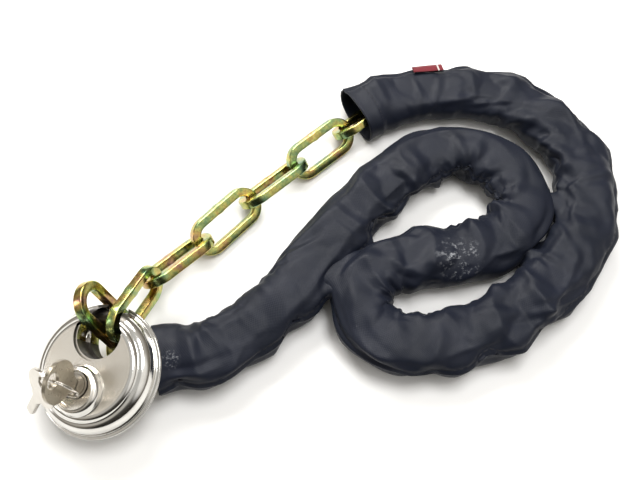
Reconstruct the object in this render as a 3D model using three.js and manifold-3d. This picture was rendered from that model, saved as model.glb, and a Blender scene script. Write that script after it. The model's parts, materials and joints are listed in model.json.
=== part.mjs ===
// Chain lock: a square-rod steel chain in a loose fabric sleeve, closed by a round
// stainless disc padlock. It is modelled lying on a flat surface, sleeve coiled once.
// Millimetres, +Z up. The origin is on the resting surface, under the middle of the
// object's outline.
import * as THREE from "three";
import { mergeVertices } from "three/addons/utils/BufferGeometryUtils.js";
import Module from "manifold-3d";

const wasm = await Module();
wasm.setup();

// ---- Driving dimensions -------------------------------------------------------

// Chain
const ROD = 6; // side of the square rod
const ROD_EDGE = 1.4; // chamfer on the rod's edges
const WORN_EDGE = 2.6; // chamfer on the covered links, which rub in the turns
const LINK_LENGTH = 57; // outside length of a link
const LINK_WIDTH = 27; // outside width of a link
const LAID_PITCH = 40; // joint to joint where the covered chain lies straight
const MOUTH_PITCH = 42.1; // and for its first two links
const TURN_SLACK = 4; // joints close up by this much in a turn of one radian
const TURN_WINDOW = 0.012; // stretch of the route that a turn is read over, each way
const TURN_OFFSET = 9.5; // sideways shift for each radian turned in that stretch
const PATH_STEPS = 2000;
const LINK_ROLL = 45; // links lie turned this far either way, in degrees
const TIGHT_JOINT = 12; // covered joint in the sleeve's sharpest turn
const TIGHT_SHIFT = new THREE.Vector3(1.2, 0, 1);
const ODD_ROLLS = { 11: 40, 12: -34, 24: -25.1 }; // beside it, and under the padlock
const LAST_JOINT = new THREE.Vector3(-126.4, -79.8, 7.2); // round the end link's foot

// Sleeve
const SLEEVE_WIDTH = 42;
const SLEEVE_HEIGHT = 26.6;
const SLEEVE_WALL = 1.2;
const SLEEVE_CORNER = 8; // radius of the section's corners
const SLEEVE_STEPS = 64;
const LABEL_ALONG = 0.065; // of the sleeve's length, from its mouth
const LABEL_LENGTH = 20;
const LABEL_DEPTH = 6;
const LABEL_THICKNESS = 1.6;

// Disc padlock, in its own frame: +Z out of the front face, +Y to the shackle
const FLANGE_RADIUS = 40;
const FLANGE_HALF = 1.1; // half the thickness of the welded rim
const SHELL_WALL = 1.5;
const FACE_RADIUS = 27.5; // flat part of the face
const FACE_HEIGHT = 14; // mid-plane to the outside of the face
const THROAT_Y = 20; // centre of the throat's round part
const THROAT_RADIUS = 12.8;
const THROAT_NECK = 6.6; // half its width at the rim
const SHACKLE_RADIUS = 31; // centreline of the curved shackle
const SHACKLE_ROD = 10;
const BOSS_Y = -13.4; // centre of the raised collar
const BOSS_BASE = 15.2;
const BOSS_TOP = 11.4;
const BOSS_HEIGHT = 6; // above the face

// Padlock core, cylinder and plug
const CORE_RADIUS = 25.4;
const CORE_BACK = -5.3;
const CORE_FRONT = 8.9;
const SPACER_Y = 2; // the spacer lies above this height
const PLUG_Y = -10.7; // key axis
const PLUG_BORE = 6.4;
const HOUSING_RADIUS = 7.6;
const HOUSING_BACK = -2.2;
const HOUSING_FRONT = 20.2;
const TOWER_WIDTH = 5;
const TOWER_BOTTOM = -24.2;
const STACK_COUNT = 4;
const FIRST_STACK = -0.6; // height of the rearmost pin stack
const STACK_SPACING = 2.7;
const CHAMBER_RADIUS = 1.05;
const CHAMBER_END = -23.4;
const PIN_RADIUS = 0.8;
const DRIVER_LENGTH = 2.6;
const TAIL = 4; // side of the plug's square tail

// Drive from the plug to the shackle. The cam's pin passes the padlock's centre at
// CAM_THROW beyond the key axis, so half a turn of the key swings the shackle 68.6 degrees.
const CAM_RADIUS = 9.1;
const CAM_FRONT = -2.8;
const CAM_THROW = 7.3;
const CAM_PIN = 1.4; // radius
const CAM_ANGLE = 235.7; // where the pin stands as seen from the padlock's centre
const CARRIER_BACK = -8;
const CARRIER_THICKNESS = 2.4;
const CARRIER_HALF = 13; // half the carrier's angle
const CARRIER_INNER = 10.2;
const CARRIER_OUTER = 32.5;
const SLOT_INNER = 10.8;
const SLOT_OUTER = 20.2;
const SLOT_CLEAR = 0.7;
const CARRIER_PIN = 1.6; // radius
const CARRIER_PIN_ANGLE = 231;
const SHACKLE_TIP = 48; // angles of the shackle's ends when locked
const SHACKLE_TAIL = 240;

// Keys and ring
const KEY_THICKNESS = 2.2;
const KEY_DEPTH = 6.4; // height of the blade
const KEY_NECK = 21.5;
const BOW_CENTRE = 36.5;
const BOW_RADIUS = 12.6;
const HOLE_HEIGHT = 43;
const HOLE_RADIUS = 4.7;
const RING_RADIUS = 10.5;
const RING_WIRE = 0.85;
const SPARE_TIP = new THREE.Vector3(-34, -33, 3);
const SPARE_FACE = new THREE.Vector3(0.235, 0.5, -0.83);

const CLEAR = 0.3; // gap left between pieces that touch

// Where the padlock lies on the resting surface
const LOCK_CENTRE = new THREE.Vector3(-131.5, -100, 22.4);
const LOCK_TILT = 18;
const LOCK_LEAN = 218; // direction that the face leans to, from +X
const LOCK_SPIN = -16.5;

const rad = THREE.MathUtils.degToRad;

// ---- Materials ----------------------------------------------------------------

function steel(color, roughness) {
  return new THREE.MeshStandardMaterial({ color, roughness, metalness: 1 });
}
const polished = steel(0xd8d6d0, 0.12);
const brushed = steel(0xb9ad98, 0.32);
const plated = steel(0xb9a45a, 0.3);
const nickel = steel(0xa8a39a, 0.3);
const hardened = steel(0x6e7074, 0.25);
const brass = steel(0xc9a45c, 0.35);
const spring_steel = steel(0x8c8f94, 0.4);
const fabric = new THREE.MeshStandardMaterial({ color: 0x23252c, roughness: 0.9, metalness: 0 });
const label = new THREE.MeshStandardMaterial({ color: 0x8a2530, roughness: 0.8, metalness: 0 });

// ---- Helpers ------------------------------------------------------------------

function node(parent, name, geometry, material) {
  const mesh = new THREE.Mesh(geometry, material);
  mesh.name = name;
  parent.add(mesh);
  return mesh;
}

function solid(geometry) {
  const bare = geometry.clone();
  bare.deleteAttribute("normal");
  bare.deleteAttribute("uv");
  const merged = mergeVertices(bare, 1e-4);
  return new wasm.Manifold(new wasm.Mesh({
    numProp: 3,
    vertProperties: new Float32Array(merged.attributes.position.array),
    triVerts: new Uint32Array(merged.index.array),
  }));
}

function geometryOf(manifold) {
  const mesh = manifold.getMesh();
  const geometry = new THREE.BufferGeometry();
  geometry.setAttribute("position", new THREE.BufferAttribute(mesh.vertProperties, 3));
  geometry.setIndex(new THREE.BufferAttribute(mesh.triVerts, 1));
  geometry.computeVertexNormals();
  return geometry;
}

// Cut the tools out of a geometry, or join them to it.
function cut(geometry, ...tools) {
  return geometryOf(tools.reduce((body, tool) => body.subtract(solid(tool)), solid(geometry)));
}

function join(geometry, ...others) {
  return geometryOf(others.reduce((body, other) => body.add(solid(other)), solid(geometry)));
}

// A turned piece about Z from [radius, z] points. The profile closes on itself.
function turned(points, segments = 36) {
  const closed = [...points, points[0]].map(([r, z]) => new THREE.Vector2(r, z));
  return new THREE.LatheGeometry(closed, segments).rotateX(Math.PI / 2);
}

// A cylinder along Z between two heights.
function rodZ(radius, from, to, segments = 24) {
  const geometry = new THREE.CylinderGeometry(radius, radius, to - from, segments);
  return geometry.rotateX(Math.PI / 2).translate(0, 0, (from + to) / 2);
}

// A cylinder along Y between two heights.
function rodY(radius, from, to, segments = 16) {
  return new THREE.CylinderGeometry(radius, radius, to - from, segments).translate(0, (from + to) / 2, 0);
}

function block(width, depth, height, x, y, z) {
  return new THREE.BoxGeometry(width, depth, height).translate(x, y, z);
}

function plate(shape, thickness, curveSegments = 12) {
  const geometry = new THREE.ExtrudeGeometry(shape, { depth: thickness, bevelEnabled: false, curveSegments });
  return geometry.translate(0, 0, -thickness / 2);
}

// A stadium outline along X, round at both ends.
function stadium(target, length, width) {
  const half = (length - width) / 2;
  target.absarc(half, 0, width / 2, -Math.PI / 2, Math.PI / 2, false);
  target.absarc(-half, 0, width / 2, Math.PI / 2, 1.5 * Math.PI, false);
  target.closePath();
  return target;
}

const model = new THREE.Group();

// ---- Chain --------------------------------------------------------------------

const UP = new THREE.Vector3(0, 0, 1);
const toVector = ([x, y, z]) => new THREE.Vector3(x, y, z);

// One welded link of square rod: a ring with chamfered edges, centred, long way along X.
function linkGeometry(edge, arcSteps) {
  const shape = stadium(new THREE.Shape(), LINK_LENGTH, LINK_WIDTH);
  shape.holes.push(stadium(new THREE.Path(), LINK_LENGTH - 2 * ROD, LINK_WIDTH - 2 * ROD));
  const geometry = new THREE.ExtrudeGeometry(shape, {
    depth: ROD - 2 * edge,
    bevelEnabled: edge > 0,
    bevelThickness: edge,
    bevelSize: edge,
    bevelOffset: -edge,
    bevelSegments: 1,
    curveSegments: arcSteps,
  });
  return geometry.translate(0, 0, edge - ROD / 2);
}

// Lay a link between two joints, turned about its length by roll degrees.
function layLink(parent, name, from, to, roll, geometry) {
  const mesh = node(parent, name, geometry, plated);
  const along = to.clone().sub(from).normalize();
  const across = new THREE.Vector3().crossVectors(UP, along).normalize();
  const basis = new THREE.Matrix4().makeBasis(along, across, along.clone().cross(across));
  mesh.quaternion.setFromRotationMatrix(basis);
  mesh.rotateX(rad(roll));
  mesh.position.copy(from).add(to).multiplyScalar(0.5);
}

const exposedLink = linkGeometry(ROD_EDGE, 3);
const coveredLink = linkGeometry(WORN_EDGE, 2);

// The link at the covered chain's far end comes up through the throat, round the shackle.
const END_LINK_TOP = new THREE.Vector3(-138.1, -63.5, 48.2);
const END_LINK_FOOT = new THREE.Vector3(-121.9, -73, 8.85);
layLink(model, "chain_link_00", END_LINK_TOP, END_LINK_FOOT, -26.7, exposedLink);

// Bare chain from the shackle to the sleeve's mouth, a joint at each point.
const BARE_JOINTS = [
  [-121.5, -77.46, 31.64],
  [-106.2, -38.5, 19.4],
  [-78, -7.5, 11.4],
  [-48.4, 24.4, 11.2],
  [-15.9, 53.4, 11.2],
  [16.7, 82.4, 11.4],
].map(toVector);
const BARE_ROLLS = [76.3, -42, LINK_ROLL, -LINK_ROLL, LINK_ROLL];
const SECOND_LINK_SHIFT = new THREE.Vector3(-0.7, -0.15, 0);
BARE_ROLLS.forEach((roll, index) => {
  const name = `chain_link_0${index + 1}`;
  layLink(model, name, BARE_JOINTS[index], BARE_JOINTS[index + 1], roll, exposedLink);
});
model.getObjectByName("chain_link_02").position.add(SECOND_LINK_SHIFT);

// ---- Sleeve -------------------------------------------------------------------

// The sleeve's centreline from its open mouth to the end by the padlock, in plan.
const SLEEVE_ROUTE = [
  [26, 95],
  [42, 104],
  [66, 112],
  [98, 115.5],
  [130, 111],
  [158, 93],
  [177, 65],
  [182, 32],
  [175, 0],
  [158, -28],
  [133, -52],
  [102, -71],
  [72, -80],
  [46, -78],
  [30, -64],
  [28, -45],
  [41, -29],
  [68, -22],
  [98, -17],
  [125, -3],
  [137, 20],
  [129, 46],
  [106, 61],
  [79, 60],
  [52, 42],
  [25, 14],
  [1, -18],
  [-20, -48],
  [-45, -71],
  [-70, -85],
  [-91, -89],
];
const SLEEVE_MID = SLEEVE_HEIGHT / 2;
const sleeveRoute = new THREE.CatmullRomCurve3(
  SLEEVE_ROUTE.map(([x, y]) => new THREE.Vector3(x, y, SLEEVE_MID)),
  false,
  "centripetal",
);

function roundedBox(target, width, height, corner) {
  const x = width / 2 - corner;
  const y = height / 2 - corner;
  target.absarc(x, y, corner, 0, Math.PI / 2, false);
  target.absarc(-x, y, corner, Math.PI / 2, Math.PI, false);
  target.absarc(-x, -y, corner, Math.PI, 1.5 * Math.PI, false);
  target.absarc(x, -y, corner, 1.5 * Math.PI, 2 * Math.PI, false);
  target.closePath();
  return target;
}

// The section's first axis ends up vertical along a level route.
function sleeveGeometry() {
  const section = roundedBox(new THREE.Shape(), SLEEVE_HEIGHT, SLEEVE_WIDTH, SLEEVE_CORNER);
  const inner = roundedBox(
    new THREE.Path(),
    SLEEVE_HEIGHT - 2 * SLEEVE_WALL,
    SLEEVE_WIDTH - 2 * SLEEVE_WALL,
    SLEEVE_CORNER - SLEEVE_WALL,
  );
  section.holes.push(inner);
  return new THREE.ExtrudeGeometry(section, {
    steps: SLEEVE_STEPS,
    curveSegments: 1,
    bevelEnabled: false,
    extrudePath: sleeveRoute,
  });
}
node(model, "fabric_sleeve", sleeveGeometry(), fabric);

// Folded label sewn into the outer edge, near the mouth.
const labelPoint = sleeveRoute.getPointAt(LABEL_ALONG);
const labelWay = sleeveRoute.getTangentAt(LABEL_ALONG);
const outward = new THREE.Vector3(-labelWay.y, labelWay.x, 0);
const sewnLabel = node(model, "sleeve_label", block(LABEL_LENGTH, LABEL_DEPTH, LABEL_THICKNESS, 0, 0, 0), label);
sewnLabel.rotation.z = Math.atan2(labelWay.y, labelWay.x);
sewnLabel.position.copy(labelPoint).addScaledVector(outward, (SLEEVE_WIDTH + LABEL_DEPTH) / 2 + 2 * CLEAR);

// A point of the covered chain's path, from 0 at the mouth to 1. In a turn the path
// runs outside the sleeve's centreline, because straight links cut the corner.
function chainPoint(along) {
  const before = sleeveRoute.getTangentAt(Math.max(along - TURN_WINDOW, 0));
  const after = sleeveRoute.getTangentAt(Math.min(along + TURN_WINDOW, 1));
  const inward = after.sub(before);
  return sleeveRoute.getPointAt(along).addScaledVector(inward, -TURN_OFFSET);
}

// Joints of the covered chain, stepped along that path. Links close up in a turn.
function coveredJoints() {
  const joints = [BARE_JOINTS[5]];
  let heading = sleeveRoute.getTangentAt(0);
  for (let step = 0; step <= PATH_STEPS; step += 1) {
    const point = chainPoint(step / PATH_STEPS);
    const tangent = sleeveRoute.getTangentAt(step / PATH_STEPS);
    const last = joints[joints.length - 1];
    const reach = Math.hypot(point.x - last.x, point.y - last.y);
    const pitch = joints.length < 3 ? MOUTH_PITCH : LAID_PITCH;
    if (reach + TURN_SLACK * tangent.angleTo(heading) ** 2 >= pitch) {
      joints.push(point);
      heading = tangent;
    }
  }
  return joints;
}
const COVERED_JOINTS = [...coveredJoints(), LAST_JOINT];
COVERED_JOINTS[TIGHT_JOINT].add(TIGHT_SHIFT);
COVERED_JOINTS.slice(1).forEach((joint, index) => {
  const number = String(index + 6).padStart(2, "0");
  const roll = ODD_ROLLS[index] ?? (index % 2 === 0 ? -LINK_ROLL : LINK_ROLL);
  layLink(model, `chain_link_${number}`, COVERED_JOINTS[index], joint, roll, coveredLink);
});

// ---- Padlock ------------------------------------------------------------------

// The padlock's frame lies in the table frame: its face leans over to LOCK_LEAN.
const lock = new THREE.Group();
const leanAxis = new THREE.Vector3(-Math.sin(rad(LOCK_LEAN)), Math.cos(rad(LOCK_LEAN)), 0);
lock.quaternion.setFromAxisAngle(leanAxis, rad(LOCK_TILT));
lock.rotateZ(rad(LOCK_SPIN));
lock.position.copy(LOCK_CENTRE);
model.add(lock);

const SPLIT = CLEAR / 2; // the two shells stop this far from the mid-plane
const BACK = -FACE_HEIGHT;

// Points of an ellipse's arc in a turned profile.
function arc(r, z, alongR, alongZ, from, to, count) {
  return Array.from({ length: count + 1 }, (_, step) => {
    const angle = rad(from + ((to - from) * step) / count);
    return [r + alongR * Math.cos(angle), z + alongZ * Math.sin(angle)];
  });
}

// Outside of one shell, from its rim to the axis: flange, round shoulder, groove, face.
const SHELL_OUTSIDE = [
  [FLANGE_RADIUS, SPLIT],
  [FLANGE_RADIUS, FLANGE_HALF],
  ...arc(31.1, 1.4, 6.5, 9.8, 0, 75, 4),
  [31.6, 11.2],
  ...arc(FACE_RADIUS, 10.6, 3.4, FACE_HEIGHT - 10.6, 15, 90, 3),
  [0, FACE_HEIGHT],
];
const SHELL_INSIDE = [
  [0, FACE_HEIGHT - SHELL_WALL],
  [27, FACE_HEIGHT - SHELL_WALL],
  ...arc(31.1, 1.4, 5.2, 8.3, 90, 0, 4),
  [36.3, SPLIT],
];

// The throat's outline, grown by a margin: a round hole that narrows to a neck at the rim.
function throatPrism(margin) {
  const neck = THROAT_NECK + margin;
  const shape = new THREE.Shape();
  shape.absarc(0, THROAT_Y, THROAT_RADIUS + margin, rad(160), rad(380), false);
  shape.lineTo(neck, FLANGE_RADIUS);
  shape.lineTo(neck, FLANGE_RADIUS + 10);
  shape.lineTo(-neck, FLANGE_RADIUS + 10);
  shape.lineTo(-neck, FLANGE_RADIUS);
  shape.closePath();
  return plate(shape, 4 * FACE_HEIGHT, 8);
}

// A ring about the padlock's centre that clears the shackle.
function shackleTunnel(gap) {
  const radius = SHACKLE_ROD / 2 + gap;
  return turned(arc(SHACKLE_RADIUS, 0, radius, radius, 0, 315, 7), 36);
}

// Front half of the case, with the throat's wall drawn in from its edge.
function shell() {
  const cup = solid(turned([...SHELL_OUTSIDE, ...SHELL_INSIDE], 36));
  const envelope = solid(turned([...SHELL_OUTSIDE, [0, SPLIT]], 36));
  const opening = solid(throatPrism(0));
  const wall = solid(throatPrism(SHELL_WALL)).intersect(envelope);
  return cup.add(wall).subtract(opening).subtract(solid(shackleTunnel(2 * CLEAR)));
}

function frontShell() {
  const keyHole = rodZ(HOUSING_RADIUS + CLEAR, 0, 2 * FACE_HEIGHT).translate(0, PLUG_Y, 0);
  return geometryOf(shell().subtract(solid(keyHole)));
}

function rearShell() {
  return geometryOf(shell()).rotateY(Math.PI);
}
node(lock, "front_shell", frontShell(), brushed);
node(lock, "rear_shell", rearShell(), polished);

// The core and plates fill the case between the shells, inside the shackle's track.
function corePlate(from, to) {
  return cut(rodZ(CORE_RADIUS, from, to, 36), throatPrism(SHELL_WALL + CLEAR));
}

function lockCore() {
  const bore = rodZ(HOUSING_RADIUS + CLEAR, CORE_BACK - 1, CORE_FRONT + 1).translate(0, PLUG_Y, 0);
  const towerSlot = block(TOWER_WIDTH + 2 * CLEAR, 20, 20, 0, TOWER_BOTTOM + 10 - CLEAR, 10 + HOUSING_BACK - CLEAR);
  const camPocket = rodZ(CAM_RADIUS + CLEAR, CORE_BACK - 1, CAM_FRONT + CLEAR, 32).translate(0, PLUG_Y, 0);
  return cut(corePlate(CORE_BACK, CORE_FRONT), bore, towerSlot, camPocket);
}
node(lock, "lock_core", lockCore(), steel(0x7d7f82, 0.5));

function guardPlate() {
  const bore = rodZ(HOUSING_RADIUS + CLEAR, 0, 2 * FACE_HEIGHT).translate(0, PLUG_Y, 0);
  return cut(corePlate(CORE_FRONT + CLEAR, FACE_HEIGHT - SHELL_WALL - CLEAR), bore);
}
node(lock, "drill_guard_plate", guardPlate(), hardened);

const REAR_PLATE_FRONT = CARRIER_BACK - CLEAR;
node(lock, "rear_plate", corePlate(BACK + SHELL_WALL + CLEAR, REAR_PLATE_FRONT), hardened);

function spacerPlate() {
  const lower = block(60, 60, 40, 0, -30 + SPACER_Y, 0);
  return cut(corePlate(REAR_PLATE_FRONT + CLEAR, CORE_BACK - CLEAR), lower);
}
node(lock, "core_spacer", spacerPlate(), steel(0x7d7f82, 0.5));

// Raised collar round the key plug, cut for the cylinder.
function cylinderCollar() {
  const cone = turned([
    [0, FACE_HEIGHT + CLEAR],
    [BOSS_BASE, FACE_HEIGHT + CLEAR],
    ...arc(BOSS_TOP, FACE_HEIGHT + CLEAR, BOSS_BASE - BOSS_TOP, BOSS_HEIGHT - CLEAR, 20, 90, 4),
    [0, FACE_HEIGHT + BOSS_HEIGHT],
  ], 32).translate(0, BOSS_Y, 0);
  return cut(cone, rodZ(HOUSING_RADIUS + CLEAR, 0, 3 * FACE_HEIGHT).translate(0, PLUG_Y, 0));
}
node(lock, "cylinder_collar", cylinderCollar(), polished);

// Cylinder: a barrel with the pin tower below it, bored for the plug and the pin stacks.
const stackHeights = Array.from({ length: STACK_COUNT }, (_, i) => FIRST_STACK + i * STACK_SPACING);

function cylinderHousing() {
  const barrel = rodZ(HOUSING_RADIUS, HOUSING_BACK, HOUSING_FRONT, 32).translate(0, PLUG_Y, 0);
  const towerDepth = PLUG_Y - TOWER_BOTTOM;
  const towerHeight = CORE_FRONT - HOUSING_BACK;
  const tower = block(TOWER_WIDTH, towerDepth, towerHeight, 0, TOWER_BOTTOM + towerDepth / 2,
    HOUSING_BACK + towerHeight / 2);
  const bore = rodZ(PLUG_BORE, HOUSING_BACK - 1, HOUSING_FRONT + 1, 32).translate(0, PLUG_Y, 0);
  const chambers = stackHeights.map((z) => rodY(CHAMBER_RADIUS, CHAMBER_END, PLUG_Y, 10).translate(0, 0, z));
  return cut(join(barrel, tower), bore, ...chambers);
}
node(lock, "cylinder_housing", cylinderHousing(), brass);

// Plug, with its keyway, its pin holes and a square tail that drives the cam.
function keyPlug() {
  const barrel = rodZ(PLUG_BORE - CLEAR, HOUSING_BACK, HOUSING_FRONT, 32);
  const tail = block(TAIL, TAIL, 3.2, 0, 0, HOUSING_BACK - 1.2);
  const keyway = block(KEY_THICKNESS + 2 * CLEAR, KEY_DEPTH + 2 * CLEAR, 30, 0, 0, 15 - CLEAR);
  const holes = stackHeights.map((z) => rodY(CHAMBER_RADIUS, -PLUG_BORE - 1, 0, 10).translate(0, 0, z));
  return cut(join(barrel, tail), keyway, ...holes).translate(0, PLUG_Y, 0);
}
node(lock, "key_plug", keyPlug(), brass);

// Cam on the plug's tail; its pin turns the shackle's carrier.
function drivingCam() {
  const disc = rodZ(CAM_RADIUS, CORE_BACK + CLEAR, CAM_FRONT, 32);
  const pin = rodZ(CAM_PIN, CARRIER_BACK, CORE_BACK + 1, 12).translate(-CAM_THROW, 0, 0);
  const socket = block(TAIL + 2 * CLEAR, TAIL + 2 * CLEAR, 10, 0, 0, CAM_FRONT);
  return cut(join(disc, pin), socket).translate(0, PLUG_Y, 0);
}
node(lock, "driving_cam", drivingCam(), steel(0x8f9296, 0.45));

// Four stacks of key pin, driver pin and spring, in line below the plug.
function coil(radius, wire, from, to, turns) {
  const steps = turns * 5;
  const points = Array.from({ length: steps + 1 }, (_, i) => {
    const angle = (i * 2 * Math.PI) / 5;
    const y = from + ((to - from) * i) / steps;
    return new THREE.Vector3(radius * Math.cos(angle), y, radius * Math.sin(angle));
  });
  const section = new THREE.Shape();
  section.absarc(0, 0, wire, 0, 2 * Math.PI, false);
  const path = new THREE.CatmullRomCurve3(points);
  return new THREE.ExtrudeGeometry(section, { steps, curveSegments: 2, bevelEnabled: false, extrudePath: path });
}
const SHEAR_Y = PLUG_Y - PLUG_BORE;
const KEY_EDGE_Y = PLUG_Y - KEY_DEPTH / 2;
stackHeights.forEach((z, i) => {
  const number = i + 1;
  const keyPin = rodY(PIN_RADIUS, SHEAR_Y + 0.5, KEY_EDGE_Y - CLEAR, 10).translate(0, 0, z);
  const driver = rodY(PIN_RADIUS, SHEAR_Y - DRIVER_LENGTH, SHEAR_Y - 0.1, 10).translate(0, 0, z);
  const springTop = SHEAR_Y - DRIVER_LENGTH - 0.4;
  const spring = coil(0.55, 0.16, CHAMBER_END + 0.4, springTop, 4).translate(0, 0, z);
  node(lock, `key_pin_${number}`, keyPin, brass);
  node(lock, `driver_pin_${number}`, driver, hardened);
  node(lock, `pin_spring_${number}`, spring, spring_steel);
});

// Curved shackle, which slides round inside the case, and the carrier that turns it by
// the pin on its back.
function onRing(radius, degrees, z = 0) {
  return new THREE.Vector3(radius * Math.cos(rad(degrees)), radius * Math.sin(rad(degrees)), z);
}

function carrierPin(radius, extra = 0) {
  const place = onRing(SHACKLE_RADIUS - 1, CARRIER_PIN_ANGLE);
  return rodZ(radius, CARRIER_BACK - extra, 0, 12).translate(place.x, place.y, 0);
}

function curvedShackle() {
  const count = 16;
  const span = SHACKLE_TAIL - SHACKLE_TIP;
  const points = Array.from({ length: count + 1 }, (_, i) => onRing(SHACKLE_RADIUS, SHACKLE_TIP + (span * i) / count));
  const section = new THREE.Shape();
  section.absarc(0, 0, SHACKLE_ROD / 2, 0, 2 * Math.PI, false);
  const bar = new THREE.ExtrudeGeometry(section, {
    steps: 24,
    curveSegments: 6,
    bevelEnabled: false,
    extrudePath: new THREE.CatmullRomCurve3(points),
  });
  return join(bar, carrierPin(CARRIER_PIN));
}
node(lock, "shackle", curvedShackle(), hardened);

function shackleCarrier() {
  const shape = new THREE.Shape();
  shape.absarc(0, 0, CARRIER_OUTER, rad(CAM_ANGLE - CARRIER_HALF), rad(CAM_ANGLE + CARRIER_HALF), false);
  shape.absarc(0, 0, CARRIER_INNER, rad(CAM_ANGLE + CARRIER_HALF), rad(CAM_ANGLE - CARRIER_HALF), true);
  shape.closePath();
  const sector = plate(shape, CARRIER_THICKNESS).translate(0, 0, CARRIER_BACK + CARRIER_THICKNESS / 2);
  const slotLength = SLOT_OUTER - SLOT_INNER;
  const slot = plate(stadium(new THREE.Shape(), slotLength, 2 * (CAM_PIN + SLOT_CLEAR)), 40, 6);
  slot.translate((SLOT_OUTER + SLOT_INNER) / 2, 0, 0).rotateZ(rad(CAM_ANGLE));
  return cut(sector, slot, carrierPin(CARRIER_PIN + CLEAR, 1));
}
node(lock, "shackle_carrier", shackleCarrier(), steel(0x8f9296, 0.45));

// ---- Keys ---------------------------------------------------------------------

// A flat key in the YZ plane: blade up from z = 0, bow above it, hole near the end.
function keyGeometry() {
  const half = KEY_DEPTH / 2;
  const shape = new THREE.Shape();
  shape.moveTo(half, KEY_NECK);
  shape.lineTo(half + 1, KEY_NECK + 1);
  shape.absarc(0, BOW_CENTRE, BOW_RADIUS, rad(-65), rad(245), false);
  shape.lineTo(-half - 1, KEY_NECK + 1);
  shape.lineTo(-half, KEY_NECK);
  for (let z = KEY_NECK - 4; z > 2; z -= STACK_SPACING) {
    shape.lineTo(-half, z + 1.9);
    shape.lineTo(-half + 1.1, z + 1);
    shape.lineTo(-half, z);
  }
  shape.lineTo(-half + 1.5, 0);
  shape.lineTo(half, 0);
  shape.closePath();
  const hole = new THREE.Path();
  hole.absarc(0, HOLE_HEIGHT, HOLE_RADIUS, 0, 2 * Math.PI, true);
  shape.holes.push(hole);
  return plate(shape, KEY_THICKNESS, 10).rotateX(Math.PI / 2).rotateZ(Math.PI / 2);
}
const key = keyGeometry();
node(lock, "key_in_lock", key, nickel).position.set(0, PLUG_Y, 0);

// Split ring: it passes through the bow's hole along X and hangs to one side.
const ringHang = new THREE.Vector3(0, -0.29, -0.957).normalize();
const bowHole = new THREE.Vector3(0, PLUG_Y, HOLE_HEIGHT);
const ringCentre = bowHole.clone().addScaledVector(ringHang, RING_RADIUS);
const ringBasis = new THREE.Matrix4().makeBasis(
  new THREE.Vector3(1, 0, 0),
  ringHang,
  new THREE.Vector3(1, 0, 0).cross(ringHang),
);
const ring = node(lock, "key_ring", new THREE.TorusGeometry(RING_RADIUS, RING_WIRE, 6, 28), nickel);
ring.quaternion.setFromRotationMatrix(ringBasis);
ring.position.copy(ringCentre);

// Spare key: its hole on the far side of the ring, its blade out over the rim.
const spareHole = ringCentre.clone().add(new THREE.Vector3(-RING_RADIUS, 0, 0));
const bladeWay = SPARE_TIP.clone().sub(spareHole).normalize();
const spareFace = SPARE_FACE.clone().addScaledVector(bladeWay, -SPARE_FACE.dot(bladeWay)).normalize();
const spare = node(lock, "spare_key", key.clone(), nickel);
spare.quaternion.setFromRotationMatrix(new THREE.Matrix4().makeBasis(
  spareFace,
  spareFace.clone().cross(bladeWay),
  bladeWay.clone().negate(),
));
spare.position.copy(spareHole).addScaledVector(bladeWay, HOLE_HEIGHT);

// Bring the origin under the middle of the outline, on the resting surface.
model.updateMatrixWorld(true);
const bounds = new THREE.Box3().setFromObject(model, true);
const middle = bounds.getCenter(new THREE.Vector3());
model.position.set(-middle.x, -middle.y, -bounds.min.z);

export default model;
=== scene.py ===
import json
import math

import bmesh
import bpy
import numpy as np
from mathutils import Matrix, Vector
from mathutils.bvhtree import BVHTree


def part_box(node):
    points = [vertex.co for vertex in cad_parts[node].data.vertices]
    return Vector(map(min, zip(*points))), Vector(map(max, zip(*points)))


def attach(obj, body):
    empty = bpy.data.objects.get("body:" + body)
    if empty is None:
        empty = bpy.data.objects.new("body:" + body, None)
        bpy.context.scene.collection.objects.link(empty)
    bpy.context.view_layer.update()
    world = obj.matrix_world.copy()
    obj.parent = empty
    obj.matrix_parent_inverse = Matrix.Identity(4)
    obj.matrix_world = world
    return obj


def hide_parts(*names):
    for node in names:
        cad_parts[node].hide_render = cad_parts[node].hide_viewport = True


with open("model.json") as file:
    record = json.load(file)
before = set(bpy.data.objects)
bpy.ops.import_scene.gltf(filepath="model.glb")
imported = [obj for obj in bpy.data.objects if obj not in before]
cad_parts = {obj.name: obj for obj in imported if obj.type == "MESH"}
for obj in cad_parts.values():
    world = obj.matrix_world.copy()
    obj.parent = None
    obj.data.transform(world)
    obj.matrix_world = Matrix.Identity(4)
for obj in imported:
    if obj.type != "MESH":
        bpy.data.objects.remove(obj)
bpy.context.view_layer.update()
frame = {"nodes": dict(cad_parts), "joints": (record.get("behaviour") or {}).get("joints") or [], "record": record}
rng = np.random.default_rng(7)
MM = 0.001
TAU = 2 * math.pi

# ---- Places taken from the frame ------------------------------------------------

JOINTS = {joint["name"]: joint for joint in frame["joints"]}
LOCK_CENTRE = Vector(JOINTS["shackle_turn"]["pos_m"])
LOCK_Z = Vector(JOINTS["shackle_turn"]["axis"])
LOCK_X = Vector(JOINTS["ring_swing"]["axis"])
LOCK_Y = LOCK_Z.cross(LOCK_X)
LOCK = Matrix.Translation(LOCK_CENTRE) @ Matrix((LOCK_X, LOCK_Y, LOCK_Z)).transposed().to_4x4()
PADLOCK_PLACE = (-131.5, -100.0)  # where the sleeve's route has the padlock's middle, mm
TABLE_SHIFT = [LOCK_CENTRE[k] / MM - PADLOCK_PLACE[k] for k in (0, 1)]

# ---- Helpers --------------------------------------------------------------------


def add_object(name, mesh, matrix=None):
    """An object with its mesh in row-frame coordinates."""
    if matrix is not None:
        mesh.transform(matrix)
    piece = bpy.data.objects.new(name, mesh)
    bpy.context.scene.collection.objects.link(piece)
    return piece


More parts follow.
